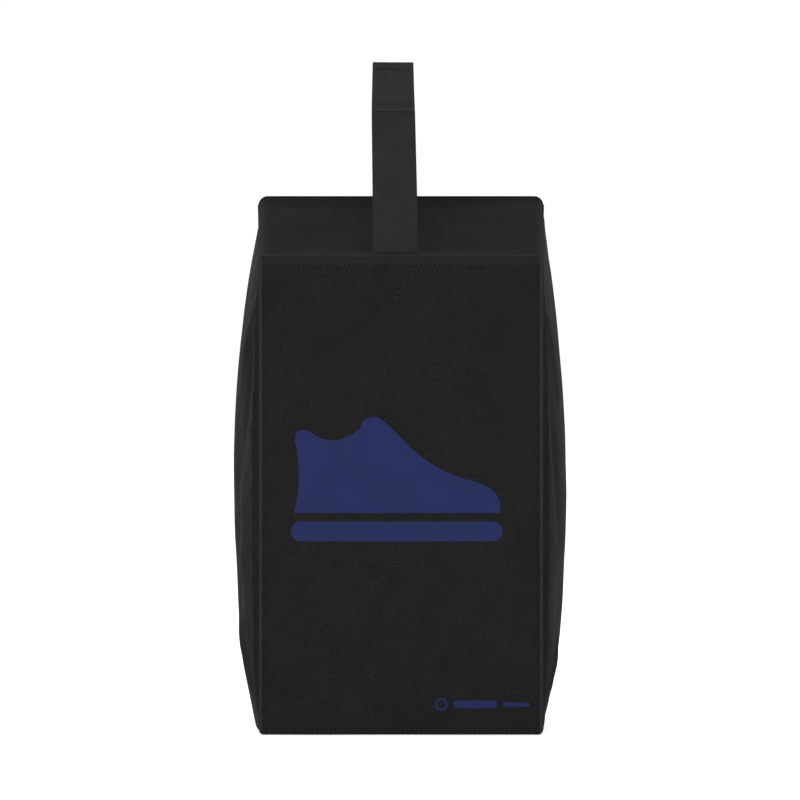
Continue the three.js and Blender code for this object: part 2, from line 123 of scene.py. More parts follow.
class Surface:
    """A Principled material and a short way to add nodes to it."""

    def __init__(self, name, roughness, metallic=0.0, sheen=0.0, sheen_roughness=0.5, specular=0.5):
        self.material = bpy.data.materials.new(name)
        self.material.use_nodes = True
        self.tree = self.material.node_tree
        self.shader = self.tree.nodes["Principled BSDF"]
        self.shader.inputs["Roughness"].default_value = roughness
        self.shader.inputs["Metallic"].default_value = metallic
        self.shader.inputs["Sheen Weight"].default_value = sheen
        self.shader.inputs["Sheen Roughness"].default_value = sheen_roughness
        self.shader.inputs["Specular IOR Level"].default_value = specular

    def add(self, kind, **inputs):
        node = self.tree.nodes.new("ShaderNode" + kind)
        for name, value in inputs.items():
            self.feed(node.inputs[name.replace("_", " ")], value)
        return node

    def feed(self, socket, value):
        if isinstance(value, bpy.types.NodeSocket):
            self.tree.links.new(value, socket)
        else:
            socket.default_value = value

    def maths(self, operation, *values):
        node = self.tree.nodes.new("ShaderNodeMath")
        node.operation = operation
        for socket, value in zip(node.inputs, values):
            self.feed(socket, value)
        return node.outputs[0]

    def place(self, scale=1.0):
        """The piece's own flat coordinates in millimetres, times scale."""
        uv = self.tree.nodes.new("ShaderNodeUVMap")
        uv.uv_map = "flat"
        mapping = self.add("Mapping", Vector=uv.outputs[0])
        mapping.inputs["Scale"].default_value = (1000 * scale, 1000 * scale, 1000 * scale)
        return mapping.outputs[0]

    def across_and_along(self, scale=1.0):
        parts = self.add("SeparateXYZ", Vector=self.place(scale))
        return parts.outputs[0], parts.outputs[1]

    def noise(self, size, detail=2.0, roughness=0.5, stretch=(1, 1, 1)):
        mapping = self.add("Mapping", Vector=self.place(1 / size))
        mapping.inputs["Scale"].default_value = stretch
        node = self.add("TexNoise", Vector=mapping.outputs[0], Scale=1.0, Detail=detail, Roughness=roughness)
        return node.outputs["Fac"]

    def between(self, low, high, share, share_low=0.3, share_high=0.7):
        """A value that goes from low to high as share goes between its two limits."""
        node = self.tree.nodes.new("ShaderNodeMapRange")
        self.feed(node.inputs["Value"], share)
        limits = {"From Min": share_low, "From Max": share_high, "To Min": low, "To Max": high}
        for name, value in limits.items():
            node.inputs[name].default_value = value
        return node.outputs[0]

    def mix(self, first, second, share):
        node = self.tree.nodes.new("ShaderNodeMix")
        node.data_type = "RGBA"
        self.feed(node.inputs["Factor"], share)
        self.feed(node.inputs[6], first)
        self.feed(node.inputs[7], second)
        return node.outputs[2]

    def total(self, *values):
        whole = values[0]
        for value in values[1:]:
            whole = self.maths("ADD", whole, value)
        return whole

    def scaled(self, value, by):
        return self.maths("MULTIPLY", value, by)

    def waves(self, value, pitch):
        """A smooth wave from 0 to 1 that repeats every pitch millimetres."""
        turn = self.maths("MULTIPLY", value, 2 * math.pi / pitch)
        return self.maths("MULTIPLY_ADD", self.maths("SINE", turn), 0.5, 0.5)

    def finish(self, colours, shade, rough, relief):
        """shade mixes the two colours. rough is what between() takes, or None where the roughness is even.
        relief is a height, its depth in millimetres and its strength."""
        height, depth, strength = relief
        self.feed(self.shader.inputs["Base Color"], self.mix(*colours, shade))
        if rough:
            self.feed(self.shader.inputs["Roughness"], self.between(*rough))
        bump = self.add("Bump", Height=height, Strength=strength, Distance=depth * MM)
        self.feed(self.shader.inputs["Normal"], bump.outputs[0])
        return self.material


WEAVE_PITCH = 1.1


def greys(dark, light, blue=1.04):
    """Two nearly neutral colours."""
    return [(level, level, level * blue, 1.0) for level in (dark, light)]


def plain_weave(surface):
    """The height of a plain weave whose threads are half a pitch apart, with uneven threads."""
    wobble = surface.scaled(surface.noise(9, 3), 0.5)
    across, along = (surface.total(value, wobble) for value in surface.across_and_along())
    warp, weft = surface.waves(across, WEAVE_PITCH), surface.waves(along, WEAVE_PITCH)
    gaps = [surface.maths("SUBTRACT", 1.0, thread) for thread in (warp, weft)]
    return surface.total(surface.maths("MULTIPLY", warp, weft), surface.maths("MULTIPLY", *gaps))


def body_fabric(name, dark, light, mottle=0.35, stretch=(1, 1, 1)):
    """Brushed canvas. stretch draws its mottling out on cloth that lies at a slant."""
    surface = Surface(name, 0.9, sheen=0.009, sheen_roughness=0.4, specular=0.03)
    weave = plain_weave(surface)
    grain = surface.noise(0.9, 3, 0.7)
    patches = surface.noise(38, 4, 0.6)
    shade = surface.total(
        surface.between(0, 0.25, weave, 0, 1),
        surface.between(0, 0.2, grain),
        surface.between(0, 0.25, patches),
        surface.between(-0.05, mottle, surface.noise(2.4, 3, 0.7, stretch), 0.35, 0.65),
        surface.between(-0.08, 0.14, surface.noise(13, 3, 0.6, stretch), 0.3, 0.7),
    )
    height = surface.total(surface.scaled(weave, 0.6), surface.scaled(grain, 0.7))
    return surface.finish(greys(dark, light), shade, (0.86, 0.96, patches), (height, 0.09, 0.7))


def lining_fabric():
    surface = Surface("lining", 0.7, sheen=0.015, specular=0.15)
    ribs = surface.waves(surface.across_and_along()[0], 0.8)
    patches = surface.noise(22, 4, 0.6)
    relief = (surface.total(ribs, patches), 0.06, 0.6)
    return surface.finish(greys(0.012, 0.02), patches, (0.6, 0.78, patches), relief)


def webbing_fabric():
    surface = Surface("webbing", 0.85, sheen=0.004, sheen_roughness=0.4, specular=0.02)
    across, along = surface.across_and_along()
    ribs = surface.waves(across, 1.35)
    picks = surface.waves(surface.total(along, surface.scaled(ribs, 0.55)), 1.0)
    fuzz = surface.noise(0.5, 3, 0.7)
    wear = surface.noise(17, 3, 0.6)
    height = surface.total(surface.scaled(ribs, 0.8), surface.scaled(picks, 0.5), surface.scaled(fuzz, 0.4))
    shade = surface.total(surface.between(0, 0.4, picks, 0, 1), surface.between(0, 0.35, wear))
    return surface.finish(greys(0.014, 0.0245, 1.0), shade, (0.8, 0.92, wear), (height, 0.16, 0.8))


def tape_fabric():
    surface = Surface("woven_tape", 0.8, sheen=0.08, specular=0.25)
    across, along = surface.across_and_along()
    ribs = surface.waves(surface.total(along, surface.scaled(across, 0.8)), 0.9)
    wear = surface.noise(12, 3)
    shade = surface.maths("MULTIPLY", ribs, wear)
    return surface.finish(greys(0.011, 0.021), shade, (0.72, 0.88, wear), (ribs, 0.12, 0.8))


def thread_finish():
    surface = Surface("thread", 0.6, sheen=0.03, specular=0.2)
    twist = surface.waves(surface.across_and_along()[1], 0.35)
    return surface.finish(greys(0.005, 0.016), twist, None, (twist, 0.05, 0.7))


def hole_painted_shade():
    """Painted shade: a near-black finish that stands for the shadow in the dimple where the needle went in.
    """
    surface = Surface("needle_dimple_painted_shade", 0.95, specular=0.02)
    fray = surface.noise(0.4, 3, 0.7)
    shade = surface.between(0, 1, fray)
    return surface.finish(greys(0.001, 0.006), shade, (0.85, 1.0, fray), (fray, 0.05, 0.5))


def nylon_finish():
    surface = Surface("nylon_coil", 0.35, specular=0.5)
    haze = surface.noise(3, 3)
    return surface.finish(greys(0.008, 0.02), haze, (0.28, 0.48, haze), (haze, 0.03, 0.4))


def enamel_finish():
    surface = Surface("black_enamel", 0.35, metallic=0.4, specular=0.6)
    scuffs = surface.noise(2.2, 5, 0.7, (1, 0.2, 1))
    orange_peel = surface.noise(0.8, 2)
    shade = surface.between(0, 1, scuffs, 0.55, 0.75)
    return surface.finish(greys(0.014, 0.05), shade, (0.25, 0.5, scuffs), (orange_peel, 0.03, 0.3))


def ink_finish():
    """Thin screen print, through which the weave shows."""
    surface = Surface("blue_ink", 0.75, sheen=0.01, specular=0.12)
    weave = plain_weave(surface)
    thin = surface.noise(0.8, 3, 0.7)
    cover = surface.noise(30, 3)
    shade = surface.total(surface.between(0, 0.5, thin), surface.between(0, 0.5, cover))
    blues = ((0.0070, 0.0114, 0.0540, 1), (0.0100, 0.0168, 0.0740, 1))
    return surface.finish(blues, shade, (0.66, 0.8, cover), (weave, 0.05, 0.6))


def board_finish():
    surface = Surface("pressed_board", 0.55, specular=0.4)
    pebble = surface.noise(1.1, 3, 0.6)
    patches = surface.noise(25, 3)
    return surface.finish(greys(0.018, 0.035), patches, (0.45, 0.65, patches), (pebble, 0.12, 0.7))


FABRIC = body_fabric("body_fabric", 0.0058, 0.0142)
# Painted shade: a darker copy of the body fabric for the top panel, which faces up into more light.
TOP_FABRIC_PAINTED_SHADE = body_fabric("body_fabric_top_painted_shade", 0.0048, 0.0126, 0.4, (1, 0.7, 1))
# Painted light: a lighter copy of the body fabric for the hem band, as if the raised band caught more light.
HEM_FABRIC_PAINTED_LIGHT = body_fabric("hem_painted_light", 0.009, 0.0175)
# Painted highlight: a lighter copy of the body fabric for the front's seam ridges and the top edge of the hem
# fold.
EDGE_FABRIC_PAINTED_HIGHLIGHT = body_fabric("seam_edge_painted_highlight", 0.0125, 0.023)
LINING = lining_fabric()
WEB = webbing_fabric()
TAPE = tape_fabric()
THREAD = thread_finish()
HOLE_PAINTED_SHADE = hole_painted_shade()
NYLON = nylon_finish()
ENAMEL = enamel_finish()
INK = ink_finish()
BOARD = board_finish()


# ---- Mesh helpers ----


def make_piece(name, points, faces, flat, materials, face_materials=None, sharp=35):
    """A mesh from points in millimetres, with flat, its texture coordinates per point, in millimetres too."""
    mesh = bpy.data.meshes.new(name)
    mesh.from_pydata((np.asarray(points) * MM).tolist(), [], [list(map(int, f)) for f in faces])
    layer = mesh.uv_layers.new(name="flat")
    corners = np.zeros(len(mesh.loops), int)
    mesh.loops.foreach_get("vertex_index", corners)
    layer.data.foreach_set("uv", (np.asarray(flat)[corners] * MM).astype(np.float32).ravel())
    for material in materials:
        mesh.materials.append(material)
    if face_materials is not None:
        mesh.polygons.foreach_set("material_index", np.asarray(face_materials, np.int32))
    mesh.polygons.foreach_set("use_smooth", np.ones(len(mesh.polygons), bool))
    mesh.set_sharp_from_angle(angle=math.radians(sharp))
    mesh.validate()
    obj = bpy.data.objects.new(name, mesh)
    bpy.context.scene.collection.objects.link(obj)
    return obj


def round_edges(whole, angle, bevel, profile):
    """Rounds the edges of a bmesh that turn by more than an angle in degrees."""
    sharp = [e for e in whole.edges if e.calc_face_angle(0) > math.radians(angle)]
    options = {"segments": 2, "profile": profile, "affect": "EDGES", "clamp_overlap": True}
    bmesh.ops.bevel(whole, geom=sharp, offset=bevel, **options)


def finished(whole, name, material, across, along):
    """A piece from a bmesh in millimetres, with the axes that its texture runs across and along."""
    whole.verts.index_update()
    points = [tuple(v.co) for v in whole.verts]
    faces = [[v.index for v in f.verts] for f in whole.faces]
    flat = [(p[across], p[along]) for p in points]
    whole.free()
    return make_piece(name, points, faces, flat, [material])


def settle(piece, body=None, nodes=()):
    """Puts a piece on the body that it rides on and hides the CAD nodes that it stands for."""
    if body:
        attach(piece, body)
    if nodes:
        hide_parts(*nodes)
    return piece


def grid_faces(rows, columns, start=0, closed_columns=False, flip=False):
    faces = []
    last = columns if closed_columns else columns - 1
    for row in range(rows - 1):
        for column in range(last):
            a = start + row * columns + column
            b = start + row * columns + (column + 1) % columns
            c, d = b + columns, a + columns
            faces.append((a, d, c, b) if flip else (a, b, c, d))
    return faces


def grid_normals(points):
    along = np.gradient(points, axis=1)
    up = np.gradient(points, axis=0)
    normal = np.cross(along, up)
    return normal / np.maximum(np.linalg.norm(normal, axis=2, keepdims=True), 1e-9)


def cloth_piece(name, outer, flat, materials, thickness=CLOTH, out=1):
    """A closed sheet of cloth from a grid of outer points (rows, columns, 3). out is 1 where the grid's own
    normal, from its columns' run to its rows' run, points out of the bag, and -1 where it points in."""
    rows, columns = outer.shape[:2]
    inner = outer - out * grid_normals(outer) * thickness
    count = rows * columns
    points = np.concatenate([outer.reshape(-1, 3), inner.reshape(-1, 3)])
    flip = out < 0
    faces = grid_faces(rows, columns, 0, False, flip)
    back_faces = grid_faces(rows, columns, count, False, not flip)
    kinds = [0] * len(faces) + [min(1, len(materials) - 1)] * len(back_faces)
    faces += back_faces
    place = np.arange(count).reshape(rows, columns)
    loop = np.concatenate([place[0], place[1:, -1], place[-1, -2::-1], place[-2::-1, 0]])
    for a, b in zip(loop, loop[1:]):
        rim = (b, a, a + count, b + count)
        faces.append(rim[::-1] if flip else rim)
        kinds.append(0)
    both = np.concatenate([flat.reshape(-1, 2)] * 2)
    return make_piece(name, points, faces, both, materials, kinds)


def stretches(*parts):
    """Numbers along stretches of (low, high, count) that follow each other, with each shared end once."""
    lines = [np.linspace(*part) for part in parts]
    return np.concatenate(lines[:1] + [line[1:] for line in lines[1:]])


def mirrored(half, sign=1):
    """Values from the middle out, with their mirror image before them. sign is -1 where they change sign."""
    return np.concatenate([sign * half[:0:-1], half])


def run_along(points):
    """The distance along a line of points at each of them."""
    return np.concatenate([[0], np.cumsum(np.linalg.norm(np.diff(points, axis=0), axis=1))])


def at_run(places, run, points):
    """The points on a line at distances along it, where run is the distance at each of its own points."""
    return np.stack([np.interp(places, run, column) for column in points.T], axis=-1)


def ripple(a, b, seed, size, waves=7):
    """Smooth unevenness between about -1 and 1 over two coordinates in millimetres."""
    random = np.random.default_rng(seed)
    total = np.zeros(np.broadcast(a, b).shape)
    for _ in range(waves):
        turn = random.uniform(0, 2 * math.pi)
        length = size * random.uniform(0.6, 1.7)
        phase = random.uniform(0, 2 * math.pi)
        total = total + np.sin((a * math.cos(turn) + b * math.sin(turn)) * 2 * math.pi / length + phase)
    return total / math.sqrt(waves) / 1.4


def bell(distance, width):
    return np.exp(-((distance / width) ** 2))


def step(value, low, high):
    share = np.clip((value - low) / (high - low), 0, 1)
    return share * share * (3 - 2 * share)


def spread(low, high, count, crowd=0.0):
    """Numbers from low to high, crowded towards both ends when crowd is near 1."""
    even = np.linspace(0, 1, count)
    eased = 0.5 - 0.5 * np.cos(np.pi * even)
    return low + (high - low) * ((1 - crowd) * even + crowd * eased)


# ---- The body's shape ----


def depth_share(y):
    return (y - FRONT_Y) / (BACK_Y - FRONT_Y)


def seam_half(y, z):
    back = BACK_HALF_LOW + (BACK_HALF_HIGH - BACK_HALF_LOW) * z / RIDGE_Z
    return FRONT_HALF + (back - FRONT_HALF) * depth_share(y)


def top_z(y):
    return TOP_FRONT_Z + (TOP_BACK_Z - TOP_FRONT_Z) * depth_share(y)


def corner_cut(z, radius=LOW_CORNER):
    """How far the sides come in where the bag's bottom edge is rounded."""
    low = np.clip(radius - z, 0, radius)
    return radius - np.sqrt(np.maximum(radius**2 - low**2, 0))


HEM_ROWS = (HEM_Z - 1.9, HEM_Z - 7.2)
HEM_LIFT = 0.5
STITCH_PITCH = 3.2
STITCH_DIP = 0.5
FOOT_ROW = 3.6
FRONT_BELLY = 2.4
RIDGE_IN = 1.3
RIDGE_WIDTH = 2.3
RIDGE_HEIGHT = 1.0
TAIL_FOOT = HEM_Z - 46
V_TOP = HEM_Z - 8
V_FOOT = HEM_Z - 32
V_HALF = 14


def front_y(x, z):
    """The outer face of the front panel."""
    side = FRONT_HALF - np.abs(x)
    inside = step(side, 0, 14)
    belly = np.sin(np.pi * np.clip(z / HEM_Z, 0, 1) ** 0.85) * (1 - (x / FRONT_HALF) ** 2)
    y = FRONT_Y - FRONT_BELLY * belly * inside
    y = y - 0.6 * ripple(x, z, 3, 120) * inside - 0.22 * ripple(x, z, 4, 34) * inside
    y = y - RIDGE_HEIGHT * bell(side - RIDGE_IN, 1.0) + 0.4 * bell(side - RIDGE_IN - 2.6, 1.0)
    y = y - 0.12 * bell(side - RIDGE_IN, 1.6) * np.sin(z * 2 * math.pi / (2 * STITCH_PITCH))
    hem = step(z, HEM_ROWS[1] - 1.6, HEM_ROWS[1] + 0.6)
    y = y - HEM_LIFT * hem - 0.35 * bell(z - sum(HEM_ROWS) / 2, 1.7)
    for row in HEM_ROWS:
        y = y + STITCH_DIP * bell(z - row, 0.7)
    over_tail = step(STRAP_WIDTH / 2 + 2 - np.abs(x - STRAP_X), -1.2, 1.2)
    y = y - 0.35 * over_tail * step(z, TAIL_FOOT - 1.2, TAIL_FOOT + 1.2) * (1 - hem)
    slope = (V_TOP - z) / (V_TOP - V_FOOT)
    arm = np.abs(np.abs(x - STRAP_X) - V_HALF * (1 - slope))
    y = y + 0.4 * bell(arm, 0.7) * step(slope, -0.03, 0.0) * step(1.03 - slope, 0.0, 0.03)
    return y + 0.35 * bell(z - FOOT_ROW, 0.7) - 0.25 * bell(z - FOOT_ROW - 2, 1.4)


def front_panel():
    """The panel's face with its side edges and bottom turned back, and the hem rolled over at the top."""
    turn = 1.6
    tuck = 4.0
    roll = 1.2
    arc = np.linspace(0, math.pi / 2, 6)[1:]
    rise, back = np.sin(arc), 1 - np.cos(arc)
    half_flat = FRONT_HALF - turn
    face = stretches((0, half_flat - 24, 40), (half_flat - 24, half_flat, 34))
    half_x = np.concatenate([face, half_flat + turn * rise, np.full(3, FRONT_HALF)])
    half_back = np.concatenate([np.zeros(len(face)), turn * back, turn + tuck * np.array([0.3, 0.65, 1])])
    columns_x, columns_back = mirrored(half_x, -1), mirrored(half_back)
    upright = stretches(
        (turn, 12, 22), (12, HEM_Z - 52, 90), (HEM_Z - 52, HEM_Z - 12, 52), (HEM_Z - 12, HEM_Z - roll, 40)
    )
    hem_z = HEM_Z - roll + roll * rise
    rows_z = np.concatenate([turn - turn * rise[::-1], upright, hem_z, [HEM_Z - 0.6, HEM_Z - 3]])
    behind = [2 * roll + 0.2, 2 * roll + 0.3]
    rows_back = np.concatenate([turn * back[::-1], np.zeros(len(upright)), roll * back, behind])
    x, z = np.meshgrid(columns_x, rows_z)
    shrunk = x * (FRONT_HALF - corner_cut(z)) / FRONT_HALF
    y = front_y(x, z) + columns_back[None, :] + rows_back[:, None]
    flat = np.stack([x + np.sign(x) * columns_back[None, :], z], axis=2)
    materials = [FABRIC, LINING, HEM_FABRIC_PAINTED_LIGHT, EDGE_FABRIC_PAINTED_HIGHLIGHT]
    piece = cloth_piece("front_panel_cloth", np.stack([shrunk, y, z], axis=2), flat, materials)
    # Painted highlight on the side ridges and the top edge of the hem fold, and painted light on the rest of
    # the hem band.
    for face in piece.data.polygons:
        x, y, z = face.center / MM
        if abs(x) > FRONT_HALF - RIDGE_WIDTH and y < FRONT_Y + 1 or z > HEM_Z - 1.1:
            face.material_index = materials.index(EDGE_FABRIC_PAINTED_HIGHLIGHT)
        elif z > HEM_ROWS[1] - 0.6:
            face.material_index = materials.index(HEM_FABRIC_PAINTED_LIGHT)
    return piece


# For each side, how far the gusset swells out, two powers that shape its swell up its height, and its knee.
GUSSET_SWELL = {-1: (BULGE + 1.8, 0.94, 0.7, 0.12), 1: (BULGE + 0.3, 0.88, 0.7, 0.06)}
KNEE_HEIGHT = 0.165
SLOT_Y = np.array([3.6, 5.4, 6.6, 7.4, 8.0, 8.6]) + FRONT_Y
SLOT_OUT = np.array([0.35, 0.4, 0.5, 1.0, 2.0, 3.3])


def upright_share(y, z, side):
    """0 at the bottom and top seams, 1 where the gusset stands out most, with a knee near its foot."""
    rise, softness, knee = GUSSET_SWELL[side][1:]
    height = np.clip(z / (top_z(y) - CORNER), 0, 1)
    swell = np.maximum(0, np.sin(np.pi * height**rise)) ** softness
    return swell + knee * bell(height - KNEE_HEIGHT, 0.075)


def fold(y, z, start, end, width):
    """A soft ridge from one y, z point to another, fading at both ends."""
    along = np.array(end, float) - np.array(start, float)
    length = np.linalg.norm(along)
    along /= length
    run = (y - start[0]) * along[0] + (z - start[1]) * along[1]
    off = -(y - start[0]) * along[1] + (z - start[1]) * along[0]
    return bell(off, width) * step(run, 0, length * 0.3) * step(length - run, 0, length * 0.5)


# Each fold's height, its start and end as y, z points, and its half width. A valley's height is negative.
GUSSET_FOLDS = {
    -1: (
        (2.6, (-66, 14), (-18, 100), 5.5),
        (2.2, (68, 18), (22, 112), 6.0),
        (2.2, (-68, 318), (-24, 226), 6.0),
        (-1.8, (-66, 290), (-34, 170), 5.5),
        (-2.4, (38, 336), (30, 60), 9.0),
        (-1.6, (-34, 60), (-30, 250), 8.0),
    ),
    1: (
        (2.4, (-66, 16), (-24, 84), 5.0),
        (2.4, (68, 14), (16, 96), 6.5),
        (2.0, (-68, 316), (-30, 210), 5.5),
        (-1.6, (-64, 250), (-40, 120), 5.0),
        (-2.4, (44, 340), (26, 80), 9.5),
        (2.0, (66, 340), (30, 250), 6.0),
    ),
}


def gusset(name, side):
    """The gusset turns into the front seam in a narrow slot, then swells out between its seams."""
    bulge = GUSSET_SWELL[side][0]
    far = BACK_Y - 1.6
    swell_y = spread(SLOT_Y[-1] + 1.1, far, 90, 0.6)
    y, share = np.meshgrid(np.concatenate([SLOT_Y, swell_y]), np.linspace(0, 1, 220))
    z = share * (top_z(y) - CORNER - 0.2)
    upright = upright_share(y, z, side)
    out = bulge * upright * np.maximum(0, np.sin(np.pi * depth_share(y))) ** 0.8
    slot = len(SLOT_Y)
    out[:, :slot] = SLOT_OUT[0] + (SLOT_OUT - SLOT_OUT[0]) * upright[:, :slot]
    middle = step(y, SLOT_Y[-1], SLOT_Y[-1] + 25) * step(far - y, 0, 25)
    seed = 11 if side > 0 else 12
    taut = 1 - 0.85 * bell(y - 5, 24)
    out = out + (1.5 * ripple(y, z * 0.6, seed, 130) + 0.9 * ripple(y * 0.8, z, seed + 5, 46)) * middle * taut
    by_seams = bell(y - SLOT_Y[-1] - 9, 8) + bell(y - far + 9, 8)
    out = out + 0.7 * ripple(y * 0.25, z, seed + 9, 24) * by_seams * step(z, 5, 40)
    for height, start, end, width in GUSSET_FOLDS[side]:
        out = out + height * fold(y, z, start, end, width)
    out = out - 1.6 * bell(y - far, 4.0) * step(z, 0, 20)
    x = seam_half(y, z) - corner_cut(z) + out
    outer = np.stack([side * x, y, z], axis=2)
    return cloth_piece(name, outer, np.stack([y, z], axis=2), [FABRIC, LINING], out=side)


TOP_SAG = 2.6


def top_panel():
    """The sloping top, turned down over the gussets at its sides, sagging, and drawn in by the handle."""
    near = FRONT_Y + 4.6
    far = BACK_Y - 1.2
    arc = np.linspace(0, math.pi / 2, 12)[1:]
    half_share = np.linspace(0, 1, 50)
    drop_half = np.concatenate([np.zeros(len(half_share)), CORNER * (1 - np.cos(arc))])
    drop = mirrored(drop_half)
    rows = []
    flats = []
    for y in stretches((near, far - 8, 60), (far - 8, far, 10)):
        flat_half = seam_half(y, top_z(y)) - CORNER
        x_half = np.concatenate([flat_half * half_share, flat_half + CORNER * np.sin(arc)])
        x = mirrored(x_half, -1)
        rows.append(np.stack([x, np.full(len(x), y), top_z(y) - drop], axis=1))
        flats.append(np.stack([mirrored(x_half + drop_half, -1), np.full(len(x), y)], axis=1))
    outer = np.array(rows)
    x, y, z = outer[..., 0], outer[..., 1], outer[..., 2]
    span = seam_half(y, top_z(y))
    middle = step(span - np.abs(x), 2, 22) * step(y, near, near + 20) * step(far - y, 0, 20)
    sag = -TOP_SAG * middle * np.cos(np.pi * x / (2 * span)) + 0.7 * ripple(x, y, 21, 70) * middle
    welt = 0.8 * bell(top_z(y) - z - CORNER + 2.2, 1.2)
    by_strap = step(STRAP_WIDTH / 2 + 4 - np.abs(x - STRAP_X), 0, 3)
    drawn_in = 2.4 * by_strap * (bell(y - near, 3) - bell(y - far, 2))
    outer = np.stack([x + np.sign(x) * welt, y + drawn_in, z + sag], axis=2)
    return cloth_piece("top_panel_cloth", outer, np.array(flats), [TOP_FABRIC_PAINTED_SHADE, LINING])


def bottom_panel():
    half = FRONT_HALF - LOW_CORNER + 0.6
    near = FRONT_Y + 1.5
    far = BACK_Y - 1.5
    x, y = np.meshgrid(np.linspace(-half, half, 60), np.linspace(near, far, 46))
    edge = np.minimum(half - np.abs(x), np.minimum(y - near, far - y))
    z = 0.25 * bell(edge - 4, 1.0) + 0.15 * (1 + ripple(x, y, 31, 60)) * step(edge, 0, 12)
    flat = np.stack([x, y], axis=2)
    return cloth_piece("bottom_panel_cloth", np.stack([x, y, z], axis=2), flat, [FABRIC, LINING], out=-1)


# ---- The back: a frame round the zip, and the door that folds down ----


def arched(side, up, radius, count_corner=14, count_top=16):
    """An upside-down U as points x, z from right foot to left. side is its half width at each height up."""
    centre = side[-1] - radius
    turn = np.linspace(0, math.pi / 2, count_corner)[1:]
    left_turn = turn + math.pi / 2
    top = np.linspace(centre, -centre, count_top)[1:]
    x = [side, centre + radius * np.cos(turn), top, -centre + radius * np.cos(left_turn), -side[::-1][1:]]
    z = [up, up[-1] + radius * np.sin(turn), np.full(len(top), up[-1] + radius)]
    z += [up[-1] + radius * np.sin(left_turn), up[::-1][1:]]
    return np.stack([np.concatenate(x), np.concatenate(z)], axis=1)


def arch(offset, foot, count_side=60, count_corner=14, count_top=16):
    """The line at an offset from the zip's centre line."""
    up = np.linspace(foot, ZIP_TOP - ZIP_CORNER, count_side)
    return arched(np.full(count_side, ZIP_HALF + offset), up, ZIP_CORNER + offset, count_corner, count_top)


BACK_BELLY = 4.5
BACK_FOOT_ROW = 4.0


def back_y(x, z):
    """The outer face of the whole back, door and frame alike."""
    side = seam_half(BACK_Y, z) - np.abs(x)
    inside = step(side, 0, 16) * step(RIDGE_Z - z, 0, 16) * step(z, 0, 16)
    middle = np.cos(np.pi / 2 * np.clip(x / (ZIP_HALF - 6), -1, 1)) ** 2
    loose = inside * (1 - 0.9 * bell(np.abs(x) - ZIP_HALF, 11))
    y = BACK_Y + BACK_BELLY * middle * np.sin(np.pi * np.clip(z / RIDGE_Z, 0, 1))
    y = y + (1.1 * ripple(x, z, 41, 110) + 0.35 * ripple(x, z, 42, 32)) * loose
    return y + 0.7 * bell(side - 1.8, 1.1) * step(z, 2, 10)


def back_outline(foot):
    """The back panel's own edge, point for point with arch()."""
    up = np.linspace(foot, RIDGE_Z - CORNER, 60)
    return arched(seam_half(BACK_Y, up) - corner_cut(up), up, CORNER)


def back_frame():
    """The cloth round the zip, sewn to the gussets, the top and the foot."""
    shares = np.concatenate([[0, 0.02, 0.05], np.linspace(0.1, 0.88, 14), [0.91, 0.94, 0.96, 0.98, 1.0]])
    shares = shares[:, None, None]
    rings = arch(CLOTH_OFF, ZIP_END) * (1 - shares) + back_outline(ZIP_END) * shares
    x, z = rings[..., 0], rings[..., 1]
    y = back_y(x, z) + 0.35 * bell(shares[..., 0], 0.03) - 1.0 * bell(1 - shares[..., 0], 0.012)
    return cloth_piece("back_panel_cloth", np.stack([x, y, z], axis=2), rings, [FABRIC, LINING])


def back_foot():
    """The strip of the back below the door, between the floor and the zip's ends."""
    share_x, z = np.meshgrid(np.linspace(-1, 1, 90), np.linspace(0.3, ZIP_END, 30))
    x = share_x * (seam_half(BACK_Y, z) - corner_cut(z))
    y = back_y(x, z) - 0.3 * bell(z - BACK_FOOT_ROW, 0.8)
    flat = np.stack([x, z], axis=2)
    return cloth_piece("back_panel_foot", np.stack([x, y, z], axis=2), flat, [FABRIC, LINING], out=-1)


def door():
    """The cloth inside the zip. It runs on into the strip at its foot, and has a shallow crease along the
    hinge line.
    """
    inset = -CLOTH_OFF
    spring = ZIP_TOP - ZIP_CORNER
    top = ZIP_TOP + inset
    upright = stretches((ZIP_END, HINGE_Z + 20, 50), (HINGE_Z + 20, spring, 70))
    head = spread(spring, top, 26, 0.6)[1:]
    share, z = np.meshgrid(spread(-1, 1, 70, 0.4), np.concatenate([upright, head]))
    radius = ZIP_CORNER + inset
    rise = np.clip(z - spring, 0, radius)
    half = ZIP_HALF - ZIP_CORNER + np.sqrt(np.maximum(radius**2 - rise**2, 0))
    x = share * half
    edge = np.minimum((1 - np.abs(share)) * half, top - z)
    y = back_y(x, z) + 0.35 * bell(edge, 1.2) - 0.4 * bell(edge - 3.2, 0.8)
    y = y - 0.5 * bell(z - HINGE_Z, 1.6)
    flat = np.stack([x, z], axis=2)
    return cloth_piece("back_door_cloth", np.stack([x, y, z], axis=2), flat, [FABRIC, LINING], out=-1)


# ---- Tapes, coils and stitches ----


TAPE_DEPTH = 2.4
TAPE_THICK = 0.5
ON_TAPE = -1.75
ZIP_STITCH_PITCH = 2.9
COIL_PITCH = 1.55
COIL_OFF = 1.25


def band(name, inner, outer):
    """A flat tape between two offsets from the zip's centre line, inside the back's outer face."""
    shares = np.linspace(0, 1, 10)[:, None, None]
    rings = arch(inner, ZIP_END) * (1 - shares) + arch(outer, ZIP_END) * shares
    x, z = rings[..., 0], rings[..., 1]
    off = inner + (outer - inner) * shares[..., 0]
    flat = np.stack(np.broadcast_arrays(off, run_along(rings[0])[None, :]), axis=2)
    return cloth_piece(name, np.stack([x, back_y(x, z) - TAPE_DEPTH, z], axis=2), flat, [TAPE], TAPE_THICK)


BEAD_SIDES = 6
BEAD_RINGS = 5


